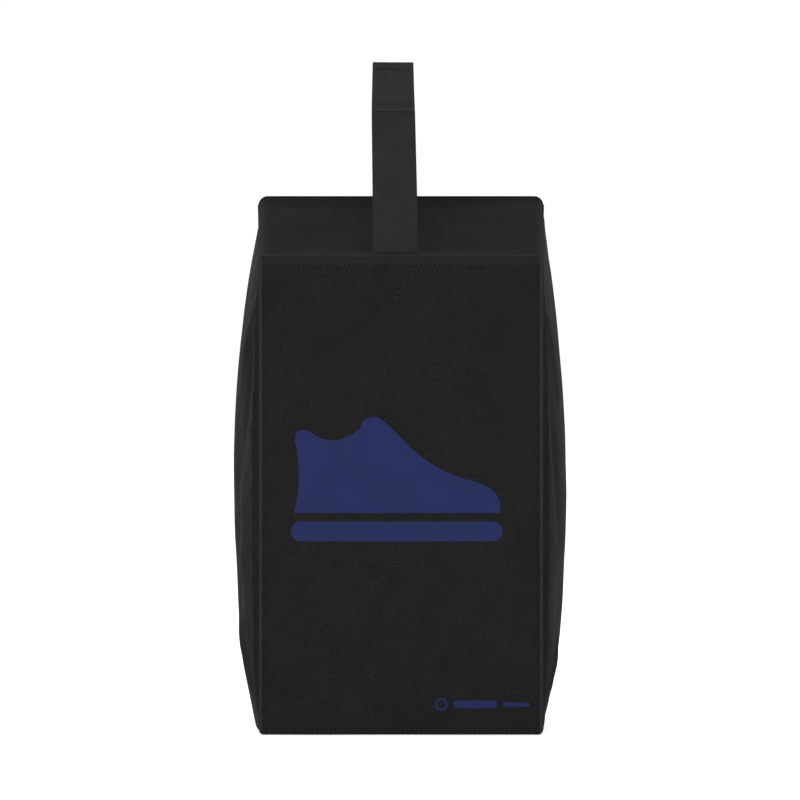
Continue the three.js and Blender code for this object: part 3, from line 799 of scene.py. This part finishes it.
def bead():
    """A small capsule along its own first axis, from -1 to 1."""
    angles = np.linspace(0, 2 * math.pi, BEAD_SIDES, endpoint=False)
    places = np.array([-0.93, -0.6, 0, 0.6, 0.93])
    radii = np.array([0.42, 0.9, 1.0, 0.9, 0.42])
    points = [[-1, 0, 0]]
    for place, radius in zip(places, radii):
        points += [[place, radius * math.cos(a), radius * math.sin(a)] for a in angles]
    points.append([1, 0, 0])
    faces = [(0, 1 + (i + 1) % BEAD_SIDES, 1 + i) for i in range(BEAD_SIDES)]
    for ring in range(BEAD_RINGS - 1):
        for i in range(BEAD_SIDES):
            a = 1 + ring * BEAD_SIDES + i
            b = 1 + ring * BEAD_SIDES + (i + 1) % BEAD_SIDES
            faces.append((a, b, b + BEAD_SIDES, a + BEAD_SIDES))
    last = 1 + (BEAD_RINGS - 1) * BEAD_SIDES
    faces += [(last + i, last + (i + 1) % BEAD_SIDES, last + BEAD_SIDES) for i in range(BEAD_SIDES)]
    return np.array(points, float), faces


BEAD_POINTS, BEAD_FACES = bead()


def beads(name, centres, along, out, half_length, half_width, half_height, material):
    """Many capsules in one piece: stitches, or the turns of a zip's coil."""
    along = along / np.linalg.norm(along, axis=1, keepdims=True)
    out = out - (out * along).sum(1, keepdims=True) * along
    out = out / np.linalg.norm(out, axis=1, keepdims=True)
    across = np.cross(out, along)
    p = BEAD_POINTS
    points = (
        centres[:, None]
        + along[:, None] * p[None, :, :1] * half_length
        + across[:, None] * p[None, :, 1:2] * half_width
        + out[:, None] * p[None, :, 2:] * half_height
    ).reshape(-1, 3)
    faces = [tuple(i + k * len(p) for i in face) for k in range(len(centres)) for face in BEAD_FACES]
    flat = np.tile(np.stack([p[:, 1] * half_width, p[:, 0] * half_length], axis=1), (len(centres), 1))
    return make_piece(name, points, faces, flat, [material], sharp=80)


def resampled(points, pitch, phase=0.5):
    """Places every pitch along a line, with the line's direction at each."""
    run = run_along(points)
    at = np.arange(phase * pitch, run[-1], pitch)
    ahead, behind = np.minimum(at + 0.2, run[-1]), np.maximum(at - 0.2, 0)
    return at_run(at, run, points), at_run(ahead, run, points) - at_run(behind, run, points)


def stitches(name, lines, body, pitch=STITCH_PITCH):
    """Rows of lockstitch along lines of (points, outward direction)."""
    threads = bead_rows(name, lines, pitch, 0.5, (pitch * 0.36, 0.34, 0.3), THREAD)
    # Painted shade: flat near-black beads between the threads, for the shadow in each needle dimple.
    dimple_shade_beads = bead_rows(name + "_painted_dimple_shade", lines, pitch, 0.0, (0.5, 0.48, 0.16), HOLE_PAINTED_SHADE)
    return settle(threads, body), settle(dimple_shade_beads, body)


def bead_rows(name, lines, pitch, phase, halves, material):
    centres, along, out = [], [], []
    for points, outward in lines:
        places, direction = resampled(np.asarray(points, float), pitch, phase)
        centres.append(places)
        along.append(direction)
        out.append(np.tile(np.asarray(outward, float), (len(places), 1)))
    return beads(name, np.concatenate(centres), np.concatenate(along), np.concatenate(out), *halves, material)


def front_line(xs, zs, lift=0.1):
    xs, zs = np.broadcast_arrays(np.asarray(xs, float), np.asarray(zs, float))
    return np.stack([xs, front_y(xs, zs) - lift, zs], axis=1)


def back_line(points, lift=0.15):
    x, z = points[:, 0], points[:, 1]
    return np.stack([x, back_y(x, z) + lift, z], axis=1)


# ---- The handle ----


def rounded_path(corners, radii, step_length=1.0):
    """A line through corners, seen from the side as y and z, with each inner corner rounded."""
    points = [np.array(corners[0], float)]
    for before, corner, after, radius in zip(corners, corners[1:], corners[2:], radii):
        before, corner, after = (np.array(p, float) for p in (before, corner, after))
        a = (before - corner) / np.linalg.norm(before - corner)
        b = (after - corner) / np.linalg.norm(after - corner)
        half = math.acos(np.clip(a @ b, -1, 1)) / 2
        tangent = radius / math.tan(half)
        middle = corner + (a + b) / np.linalg.norm(a + b) * radius / math.sin(half)
        first, last = corner + a * tangent, corner + b * tangent
        for share in np.linspace(0, 1, 9):
            spot = first * (1 - share) + last * share - middle
            points.append(middle + spot / np.linalg.norm(spot) * radius)
    points.append(np.array(corners[-1], float))
    points = np.array(points)
    run = run_along(points)
    at = np.unique(np.round(np.concatenate([run, np.arange(0, run[-1], step_length)]), 3))
    return at_run(at, run, points), at


FRONT_TAIL = (FRONT_PIVOT[1], TAIL_FOOT)
REAR_TAIL = (REAR_PIVOT[1], REAR_PIVOT[2] - 24)
CREASE_LIFT = 0.8
LINER_THICK = 1.2
LINER_INSET = 18


def yz(point, dy=0.0, dz=0.0):
    return (point[1] + dy, point[2] + dz)


STRAP_CORNERS = [
    FRONT_TAIL,
    yz(FRONT_PIVOT),
    yz(FRONT_FOLD, -0.8, 0.6),
    yz(REAR_FOLD, CREASE_LIFT * 0.6, CREASE_LIFT),
    yz(REAR_PIVOT),
    REAR_TAIL,
]
STRAP_LINE, STRAP_RUN = rounded_path(STRAP_CORNERS, [8, 3.2, 3.0, 8])


STRAP_TWIST = math.radians(5)
STRAP_TAPER = 0.035
STRAP_LEAN = 1.9


def strap_place(line_y, line_z, normal, across, out, run):
    """Where a point across and out from the handle's middle line is, with lean, twist, taper and waves."""
    share = step(line_z, HEM_Z, REAR_FOLD[2])
    turn = STRAP_TWIST * share
    across = across * (1 - STRAP_TAPER * share)
    out = out + 0.3 * ripple(run, across, 51, 60)
    x = STRAP_X - STRAP_LEAN * share + across * np.cos(turn)
    y = line_y + normal[0] * out + across * np.sin(turn)
    return np.stack(np.broadcast_arrays(x, y, line_z + normal[1] * out), axis=-1)


def strap_section(thickness, width):
    """The webbing's section: places across it and out from its middle, with round selvedges and fine ribs."""
    half, edge = width / 2, thickness / 2
    flat = np.linspace(-half + edge, half - edge, 19)
    arc = np.linspace(-math.pi / 2, math.pi / 2, 7)[1:-1]
    selvedge = half - edge + edge * np.cos(arc)
    face = np.full(len(flat), edge)
    across = np.concatenate([flat, selvedge, flat[::-1], -selvedge])
    out = np.concatenate([-face, edge * np.sin(arc), face, -edge * np.sin(arc)])
    ribs = 0.06 * np.cos(across * 2 * math.pi / 2.7) * np.sign(out)
    return across, out + ribs * (np.abs(across) < half - 1.2)


def strap_piece(name, line, run, lift=0.0, thickness=WEBBING, width=STRAP_WIDTH):
    """Webbing along a line seen from the side."""
    tangent = np.gradient(line, axis=0)
    tangent /= np.linalg.norm(tangent, axis=1, keepdims=True)
    across, section = strap_section(thickness, width)
    crease = 0.5 * bell(run - run_at(FRONT_FOLD) - 1.5, 1.1) + 0.3 * bell(run - run_at(FRONT_FOLD) + 3.5, 1.2)
    out = section[None, :] + lift - crease[:, None] * (section > 0)
    sides = (-tangent[:, 1:2], tangent[:, 0:1])
    rows = strap_place(line[:, 0:1], line[:, 1:2], sides, across[None, :], out, run[:, None])
    count, ring = rows.shape[:2]
    faces = grid_faces(count, ring, 0, True, True)
    faces.append(list(range(ring)))
    faces.append([(count - 1) * ring + i for i in range(ring)][::-1])
    flat = np.stack(np.broadcast_arrays(across[None, :], run[:, None]), axis=2).reshape(-1, 2)
    return make_piece(name, rows.reshape(-1, 3), faces, flat, [WEB], sharp=40)


def run_at(point):
    """How far along the handle the nearest place to a point is."""
    distance = np.linalg.norm(STRAP_LINE - np.array(yz(point)), axis=1)
    return STRAP_RUN[int(distance.argmin())]


def strap_part(name, low, high, **options):
    inside = (STRAP_RUN > low) & (STRAP_RUN < high)
    at = np.concatenate([[low], STRAP_RUN[inside], [high]])
    return strap_piece(name, at_run(at, STRAP_RUN, STRAP_LINE), at, **options)


def strap_point(run, across=0.0, lift=0.0):
    """A place on the handle, with lift along its outward side, and that side's direction."""
    (y, z), (y2, z2) = (at_run(place, STRAP_RUN, STRAP_LINE) for place in (run, run + 0.5))
    length = math.hypot(y2 - y, z2 - z)
    normal = (-(z2 - z) / length, (y2 - y) / length)
    return strap_place(y, z, normal, across, lift, run), np.array([0, normal[0], normal[1]])


REAR_STUB = 3.4
REAR_GAP = 0.4


def handle():
    corners = (FRONT_PIVOT, FRONT_FOLD, REAR_FOLD, REAR_PIVOT)
    front_foot, front_fold, rear_fold, rear_foot = (run_at(corner) for corner in corners)
    mid_front, mid_grip = (front_foot + front_fold) / 2, (front_fold + rear_fold) / 2
    mid_rear = (rear_fold + rear_foot) / 2

    front_leg = strap_part("webbing_front_leg", 0, mid_front)
    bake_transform(front_leg)
    settle(front_leg, None, ("handle_front_leg", "handle_front_tail"))
    front_bend = strap_part("webbing_front_bend", mid_front, mid_grip)
    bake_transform(front_bend)
    settle(front_bend, None, ("handle_grip",))
    rear_bend = strap_part("webbing_rear_bend", mid_grip, mid_rear)
    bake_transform(rear_bend)
    settle(rear_bend)
    rear_leg = strap_part("webbing_rear_leg", mid_rear, rear_foot + REAR_STUB)
    settle(rear_leg, "rear_leg", ("handle_rear_leg",))
    rear_tail = strap_part("webbing_rear_tail", rear_foot + REAR_STUB + REAR_GAP, STRAP_RUN[-1])
    settle(rear_tail, "root", ("handle_rear_tail",))
    low, high = front_fold + LINER_INSET, rear_fold - LINER_INSET
    lift = -(WEBBING + LINER_THICK) / 2 - 0.1
    liner = strap_part("webbing_grip_underlayer", low, high, lift=lift, thickness=LINER_THICK, width=30)
    settle(liner, "grip", ("handle_grip_liner",))
    handle_stitches(front_fold, low, high)


def handle_stitches(front_fold, liner_low, liner_high):
    """Cross rows that hold the grip's second layer, and one row by the front fold."""
    half = STRAP_WIDTH / 2 - 3
    across = np.linspace(-half, half, 20)

    def row(run, side):
        spots = [strap_point(run, x, -side * (WEBBING / 2 + 0.1)) for x in across]
        return np.array([spot for spot, out in spots]), -spots[0][1] * side

    rows = []
    for run in (liner_low + 3, liner_low + 8, liner_high - 3, liner_high - 8):
        rows.append(row(run, -1))
        points, out = row(run, 1)
        rows.append((points + out * LINER_THICK, out))
    stitches("handle_grip_stitching", rows, "grip", 3.0)
    for piece in stitches("handle_fold_stitching", [row(front_fold + 1.5, -1)], None, 2.6):
        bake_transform(piece)


# ---- The zip's metal parts ----


def solid_piece(name, makers, material, bevel=0.3):
    """One mesh of several solids, each made by a function that adds to a bmesh, with its edges rounded."""
    whole = bmesh.new()
    for maker in makers:
        maker(whole)
    round_edges(whole, 50, bevel, 0.6)
    bmesh.ops.recalc_face_normals(whole, faces=whole.faces)
    return finished(whole, name, material, 0, 2)


def slab(outline, near, far):
    """A maker for a plate that stands upright, with an outline of x, z points, from y near to y far."""

    def make(whole):
        front = [whole.verts.new((x, near, z)) for x, z in outline]
        back = [whole.verts.new((x, far, z)) for x, z in outline]
        whole.faces.new(front)
        whole.faces.new(back[::-1])
        for i in range(len(outline)):
            j = (i + 1) % len(outline)
            whole.faces.new((front[i], back[i], back[j], front[j]))
        whole.verts.index_update()

    return make


def swept_bar(line, half_width, half_thick, middle_x):
    """A maker for a flat bar along a line of y, z points, as wide as twice half_width along x."""

    def make(whole):
        line_at = np.array(line, float)
        tangent = np.gradient(line_at, axis=0)
        tangent /= np.linalg.norm(tangent, axis=1, keepdims=True)
        rings = []
        for (y, z), (ty, tz) in zip(line_at, tangent):
            ring = []
            for a, b in ((-1, -1), (1, -1), (1, 1), (-1, 1)):
                spot = (middle_x + a * half_width, y - b * tz * half_thick, z + b * ty * half_thick)
                ring.append(whole.verts.new(spot))
            rings.append(ring)
        for before, after in zip(rings, rings[1:]):
            for i in range(4):
                j = (i + 1) % 4
                whole.faces.new((before[i], before[j], after[j], after[i]))
        whole.faces.new(rings[0][::-1])
        whole.faces.new(rings[-1])
        whole.verts.index_update()

    return make


SLIDER_LOW, SLIDER_HIGH = box_mm("zip_slider")
PULL_LOW, PULL_HIGH = box_mm("zip_pull")
PLATE_FACE = BACK_Y + 1.6
PULL_Y = (PULL_LOW[1] + PULL_HIGH[1]) / 2


def rectangle(x_low, x_high, z_low, z_high):
    return [(x_low, z_low), (x_high, z_low), (x_high, z_high), (x_low, z_high)]


def slider_outline():
    """A shield, wide at its shoulders and narrower at its tail."""
    low, high = SLIDER_LOW[2], SLIDER_HIGH[2]
    half = (SLIDER_HIGH[0] - SLIDER_LOW[0]) / 2
    right = [(half * 0.62, low), (half * 0.74, low + 2), (half * 0.8, low + 5), (half, high - 5)]
    right += [(half, high - 2.5), (half * 0.86, high - 0.8), (half * 0.55, high), (half * 0.2, high - 0.9)]
    return [(ZIP_HALF + x, z) for x, z in right] + [(ZIP_HALF - x, z) for x, z in right[::-1]]


def slider():
    """A shield plate with a rail down each side of the coil, and the bridge that the pull hangs on."""
    rail = COIL_REACH + 0.4
    wall = 4.3
    low, high = SLIDER_LOW[2] + 1, SLIDER_HIGH[2] - 3
    makers = [slab(slider_outline(), BACK_Y + 0.1, PLATE_FACE)]
    for side in (-1, 1):
        edges = sorted((ZIP_HALF + side * rail, ZIP_HALF + side * wall))
        makers.append(slab(rectangle(*edges, low, high), BACK_Y - 1.7, BACK_Y + 0.4))
    foot, head = PULL_HIGH[2] - 3.4, PULL_HIGH[2] + 6.2
    rise = SLIDER_HIGH[1] - 0.5
    bridge = [(BACK_Y + 1, foot), (rise - 0.9, foot + 0.1), (rise - 0.2, foot + 0.7), (rise, foot + 1.6)]
    bridge += [(rise, head - 2.2), (rise - 0.2, head - 1), (rise - 0.9, head - 0.2), (BACK_Y + 1, head)]
    makers.append(swept_bar(bridge, 1.0, 0.45, ZIP_HALF))
    settle(solid_piece("zip_slider_body", makers, ENAMEL, 0.25), "slider", ("zip_slider",))


def pull():
    """A flat tab with a window at its head, a waist, a rounded foot and a raised grip panel."""
    high, low = PULL_HIGH[2], PULL_LOW[2]
    half = (PULL_HIGH[0] - PULL_LOW[0]) / 2
    thick = (PULL_HIGH[1] - PULL_LOW[1]) / 2
    bar = 1.4
    stem_top = high - 8.4
    turn = np.linspace(0, math.pi, 17)
    foot = [(ZIP_HALF - half * math.cos(a), low + half - half * math.sin(a)) for a in turn]
    stem = [(half * 0.96, low + half + 4), (half * 0.72, stem_top - 4), (half * 0.9, stem_top)]
    right = [(ZIP_HALF + x, z) for x, z in stem]
    left = [(ZIP_HALF - x, z) for x, z in stem[::-1]]
    makers = [slab(foot + right + left, PULL_Y - thick, PULL_Y + thick)]
    outer = half * 0.98
    for side in (-1, 1):
        edges = sorted((ZIP_HALF + side * (half - bar), ZIP_HALF + side * outer))
        arm = rectangle(*edges, stem_top - 1, high)
        makers.append(slab(arm, PULL_Y - thick * 0.98, PULL_Y + thick * 0.98))
    top_bar = rectangle(ZIP_HALF - outer, ZIP_HALF + outer, high - 1.15, high)
    makers.append(slab(top_bar, PULL_Y - thick * 0.96, PULL_Y + thick * 0.96))
    settle(solid_piece("zip_pull_tab", makers, ENAMEL, 0.28), "pull", ("zip_pull",))
    reach = half - 1.3
    face = PULL_Y + thick
    ribs = []
    for z in np.arange(low + 3, low + 11, 1.6):
        rib = rectangle(ZIP_HALF - reach, ZIP_HALF + reach, z, z + 0.8)
        ribs.append(slab(rib, face - 0.1, face + 0.25))
    settle(solid_piece("zip_pull_ridges", ribs, ENAMEL, 0.12), "pull")


# ---- The zip, sewn in ----


def with_door(piece):
    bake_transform(piece)


def coil(name, offset, phase, body):
    """One side of the coil: its turns show as short bars across the tape's edge."""
    path = back_line(arch(offset, ZIP_END + 1, 400, 90, 60), -COIL_OFF)
    places, along = resampled(path, COIL_PITCH, phase)
    along = along / np.linalg.norm(along, axis=1, keepdims=True)
    out = np.tile(np.array([0.0, 1.0, 0.0]), (len(places), 1))
    across = np.cross(out, along)
    slant = across / np.linalg.norm(across, axis=1, keepdims=True) + 0.18 * along
    return settle(beads(name, places, slant, out, 1.45, 0.56, 0.95, NYLON), body)


def zip_fastener():
    frame_tape = band("zip_tape_frame_side", 0.2, TAPE_REACH)
    settle(frame_tape, "root", ("zip_tape_frame",))
    door_tape = band("zip_tape_door_side", -TAPE_REACH, -0.2)
    with_door(door_tape)
    settle(door_tape, None, ("zip_tape_door", "zip_end_left", "zip_end_right"))
    frame_coil = coil("zip_coil_frame_side", COIL_OFF, 0.25, "root")
    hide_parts("zip_coil_frame")
    door_coil = coil("zip_coil_door_side", -COIL_OFF, 0.75, None)
    with_door(door_coil)
    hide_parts("zip_coil_door")


def zip_stitching():
    """On each side of the zip, a row on the cloth's edge and a row on the tape beside it."""
    rows = {}
    for side in (1, -1):
        on_cloth = back_line(arch(side * (CLOTH_OFF + 2.6), ZIP_END))
        on_tape = back_line(arch(side * (CLOTH_OFF - 2.1), ZIP_END), ON_TAPE)
        rows[side] = [(on_cloth, BACKWARDS), (on_tape, BACKWARDS)]
    stitches("zip_frame_stitching", rows[1], "root", ZIP_STITCH_PITCH)
    for piece in stitches("zip_door_stitching", rows[-1], None, ZIP_STITCH_PITCH):
        with_door(piece)


def end_tab(name, node):
    """A folded patch over the zip's end, with round corners, sewn all round."""
    low, high = box_mm(node)
    radius = 2.0
    x, z = np.meshgrid(spread(low[0], high[0], 34, 0.5), spread(low[2], high[2], 34, 0.5))
    edge_x = np.minimum(x - low[0], high[0] - x)
    edge_z = np.minimum(z - low[2], high[2] - z)
    over_x, over_z = np.maximum(radius - edge_x, 0), np.maximum(radius - edge_z, 0)
    pull_in = 1 - radius / np.maximum(np.hypot(over_x, over_z), radius)
    middle = (low + high) / 2
    x2 = x - np.sign(x - middle[0]) * over_x * pull_in
    z2 = z - np.sign(z - middle[2]) * over_z * pull_in
    edge = np.minimum(edge_x, edge_z)
    y = back_y(x2, z2) + 0.7 + 0.5 * step(edge, 0, 1.2) - 0.3 * bell(edge - 2, 0.5)
    y = y + 0.15 * ripple(x, z, 77, 12)
    flat = np.stack([x, z], axis=2)
    piece = cloth_piece(name, np.stack([x2, y, z2], axis=2), flat, [FABRIC], 0.9, out=-1)
    settle(piece, "root", (node,))
    inset = 2.0
    corners = rectangle(low[0] + inset, high[0] - inset, low[2] + inset, high[2] - inset)
    shares = np.linspace(0, 1, 12)[:, None]
    lines = []
    for a, b in zip(corners, corners[1:] + corners[:1]):
        run = np.array([a]) * (1 - shares) + np.array([b]) * shares
        lines.append((back_line(run, 1.0), BACKWARDS))
    stitches(name + "_stitching", lines, "root", 2.2)


# ---- Pieces that keep the CAD's own outline ----


def cut_by_planes(whole, axis, spacing):
    """Cuts every face by planes across an axis, so that the mesh can bend between them."""
    values = [v.co[axis] for v in whole.verts]
    normal = Vector((axis == 0, axis == 1, axis == 2))
    for place in np.arange(min(values) + spacing / 2, max(values), spacing):
        geometry = whole.verts[:] + whole.edges[:] + whole.faces[:]
        bmesh.ops.bisect_plane(whole, geom=geometry, dist=1e-4, plane_co=normal * place, plane_no=normal)


def copied(node):
    """The CAD node's mesh as a new bmesh in millimetres, with doubled corners merged."""
    whole = bmesh.new()
    whole.from_mesh(frame["nodes"][node].data)
    bmesh.ops.scale(whole, vec=(1 / MM, 1 / MM, 1 / MM), verts=whole.verts)
    bmesh.ops.remove_doubles(whole, verts=whole.verts, dist=0.002)
    bmesh.ops.dissolve_limit(whole, angle_limit=math.radians(1), verts=whole.verts, edges=whole.edges)
    return whole


def dressed(node, material, wave=0.15, bevel=0.35):
    """A sewn-in or flat piece inside the bag: the CAD outline with rounded edges and a little unevenness."""
    low, high = box_mm(node)
    thin, across, along = (int(axis) for axis in np.argsort(high - low))
    whole = copied(node)
    round_edges(whole, 30, bevel, 0.5)
    cut_by_planes(whole, along, 5.0)
    if high[across] - low[across] > 20:
        cut_by_planes(whole, across, 5.0)
    for vert in whole.verts:
        vert.co[thin] += wave * float(ripple(vert.co[across], vert.co[along], 61, 24))
    settle(finished(whole, node + "_cloth", material, across, along), "root", (node,))


def inner_pieces():
    for edge in ("front_left", "front_right", "back_left", "back_right", "top_left", "top_right", "bottom"):
        dressed(edge + "_seam_binding", TAPE)
    for node in ("front_hem_facing", "handle_front_patch", "handle_rear_patch"):
        dressed(node, FABRIC, 0.1, 0.2)
    dressed("base_board", BOARD, 0.1, 0.8)


def printed(node):
    """A print keeps the CAD outline and lies on the cloth, a film too thin to feel."""
    middle = np.mean(box_mm(node), axis=0)[1]
    whole = copied(node)
    cut_by_planes(whole, 0, 3.0)
    cut_by_planes(whole, 2, 3.0)
    for vert in whole.verts:
        lift = 0.16 if vert.co.y < middle else 0.02
        vert.co.y = float(front_y(vert.co.x, vert.co.z)) - lift
    settle(finished(whole, node + "_ink", INK, 0, 2), "root", (node,))


# ---- Putting the bag together ----


def shell():
    pieces = {
        "front_panel": front_panel(),
        "top_panel": top_panel(),
        "bottom_panel": bottom_panel(),
        "left_gusset": gusset("left_gusset_cloth", -1),
        "right_gusset": gusset("right_gusset_cloth", 1),
        "back_panel": back_frame(),
    }
    for node, piece in pieces.items():
        settle(piece, "root", (node,))
    settle(back_foot(), "root")
    leaf = door()
    with_door(leaf)
    settle(leaf, None, ("back_door",))


def front_stitching():
    reach = np.linspace(-FRONT_HALF + 3, FRONT_HALF - 3, 160)
    stitches("hem_stitching", [(front_line(reach, z), FORWARDS) for z in HEM_ROWS], "root")
    share = np.linspace(0.03, 1, 30)
    lines = []
    for side in (-1, 1):
        x = STRAP_X + side * V_HALF * (1 - share)
        lines.append((front_line(x, V_TOP + (V_FOOT - V_TOP) * share), FORWARDS))
    stitches("handle_front_stitching", lines, "root", 2.8)
    low = np.linspace(-FRONT_HALF + 6, FRONT_HALF - 6, 160)
    stitches("front_foot_stitching", [(front_line(low, FOOT_ROW), FORWARDS)], "root")


def back_stitching():
    """Rows by the side seams, under the ridge, above the floor, and along the strip below the door."""
    upright = np.linspace(8, RIDGE_Z - 9, 240)
    rows = [(side * (seam_half(BACK_Y, upright) - 4.4), upright) for side in (-1, 1)]
    rows.append((np.linspace(-BACK_HALF_HIGH + 9, BACK_HALF_HIGH - 9, 160), RIDGE_Z - 4.4))
    rows.append((np.linspace(-BACK_HALF_LOW + 9, BACK_HALF_LOW - 9, 160), BACK_FOOT_ROW))
    outside = np.linspace(-BACK_HALF_LOW + 3, -ZIP_HALF - 9, 20)
    for x in (outside, -outside[::-1], np.linspace(-ZIP_HALF + 9, ZIP_HALF - 9, 90)):
        rows.append((x, ZIP_END - 1.6))
    lines = []
    for x, z in rows:
        lines.append((back_line(np.stack(np.broadcast_arrays(x, z), axis=1)), BACKWARDS))
    stitches("back_edge_stitching", lines, "root")


shell()
inner_pieces()
zip_fastener()
zip_stitching()
end_tab("zip_end_tab_left_cloth", "zip_end_tab_left")
end_tab("zip_end_tab_right_cloth", "zip_end_tab_right")
slider()
pull()
handle()
front_stitching()
back_stitching()
for print_node in sorted(n for n in frame["nodes"] if n.startswith("print_")):
    printed(print_node)


# ---- Studio ----


def studio_surface(name, level):
    surface = Surface(name, 0.9, specular=0.1)
    surface.shader.inputs["Base Color"].default_value = (level, level, level, 1)
    surface.shader.inputs["Emission Color"].default_value = (1, 1, 1, 1)
    surface.shader.inputs["Emission Strength"].default_value = 0.5
    return surface.material


def studio():
    """A wide white floor. The white world behind it is the backdrop."""
    half = 12.0
    below = -0.0004
    mesh = bpy.data.meshes.new("studio_floor")
    corners = [(x * half, y * half, below) for x, y in ((-1, -1), (1, -1), (1, 1), (-1, 1))]
    mesh.from_pydata(corners, [], [(0, 1, 2, 3)])
    mesh.materials.append(studio_surface("studio_white", 0.8))
    floor = bpy.data.objects.new("studio_floor", mesh)
    bpy.context.scene.collection.objects.link(floor)


def lamp(name, place, aim, size, power):
    light = bpy.data.lights.new(name, "AREA")
    light.shape = "RECTANGLE"
    light.size, light.size_y = size
    light.energy = power
    obj = bpy.data.objects.new(name, light)
    obj.location = place
    obj.rotation_euler = (Vector(aim) - Vector(place)).to_track_quat("-Z", "Y").to_euler()
    bpy.context.scene.collection.objects.link(obj)


def lights():
    world = bpy.data.worlds.new("studio_world")
    world.use_nodes = True
    world.node_tree.nodes["Background"].inputs[0].default_value = (1, 1, 1, 1)
    world.node_tree.nodes["Background"].inputs[1].default_value = 1.03
    bpy.context.scene.world = world
    lamp("key", (-0.3, -2.4, 1.2), (0, 0, 0.25), (1.2, 0.9), 19)
    lamp("left_edge", (-1.7, -0.15, 0.7), (0, 0, 0.2), (0.5, 1.3), 3)
    lamp("right_edge", (1.7, -0.15, 0.7), (0, 0, 0.2), (0.5, 1.3), 3)
    lamp("back_left", (-1.5, 2.1, 1.3), (0, 0, 0.25), (1.0, 1.0), 13)
    lamp("back_right", (1.9, 1.5, 0.9), (0, 0, 0.25), (0.8, 1.0), 6)


def camera():
    """Level, a little above the bag's middle, straight in front."""
    data = bpy.data.cameras.new("camera")
    data.sensor_width = 36
    data.lens = 158.9
    data.clip_end = 60
    obj = bpy.data.objects.new("camera", data)
    obj.location = (-0.0007, -2.575, 0.237)
    obj.rotation_euler = (math.pi / 2, 0, 0)
    bpy.context.scene.collection.objects.link(obj)
    bpy.context.scene.camera = obj


studio()
lights()
camera()
bpy.context.scene.view_settings.view_transform = "Standard"
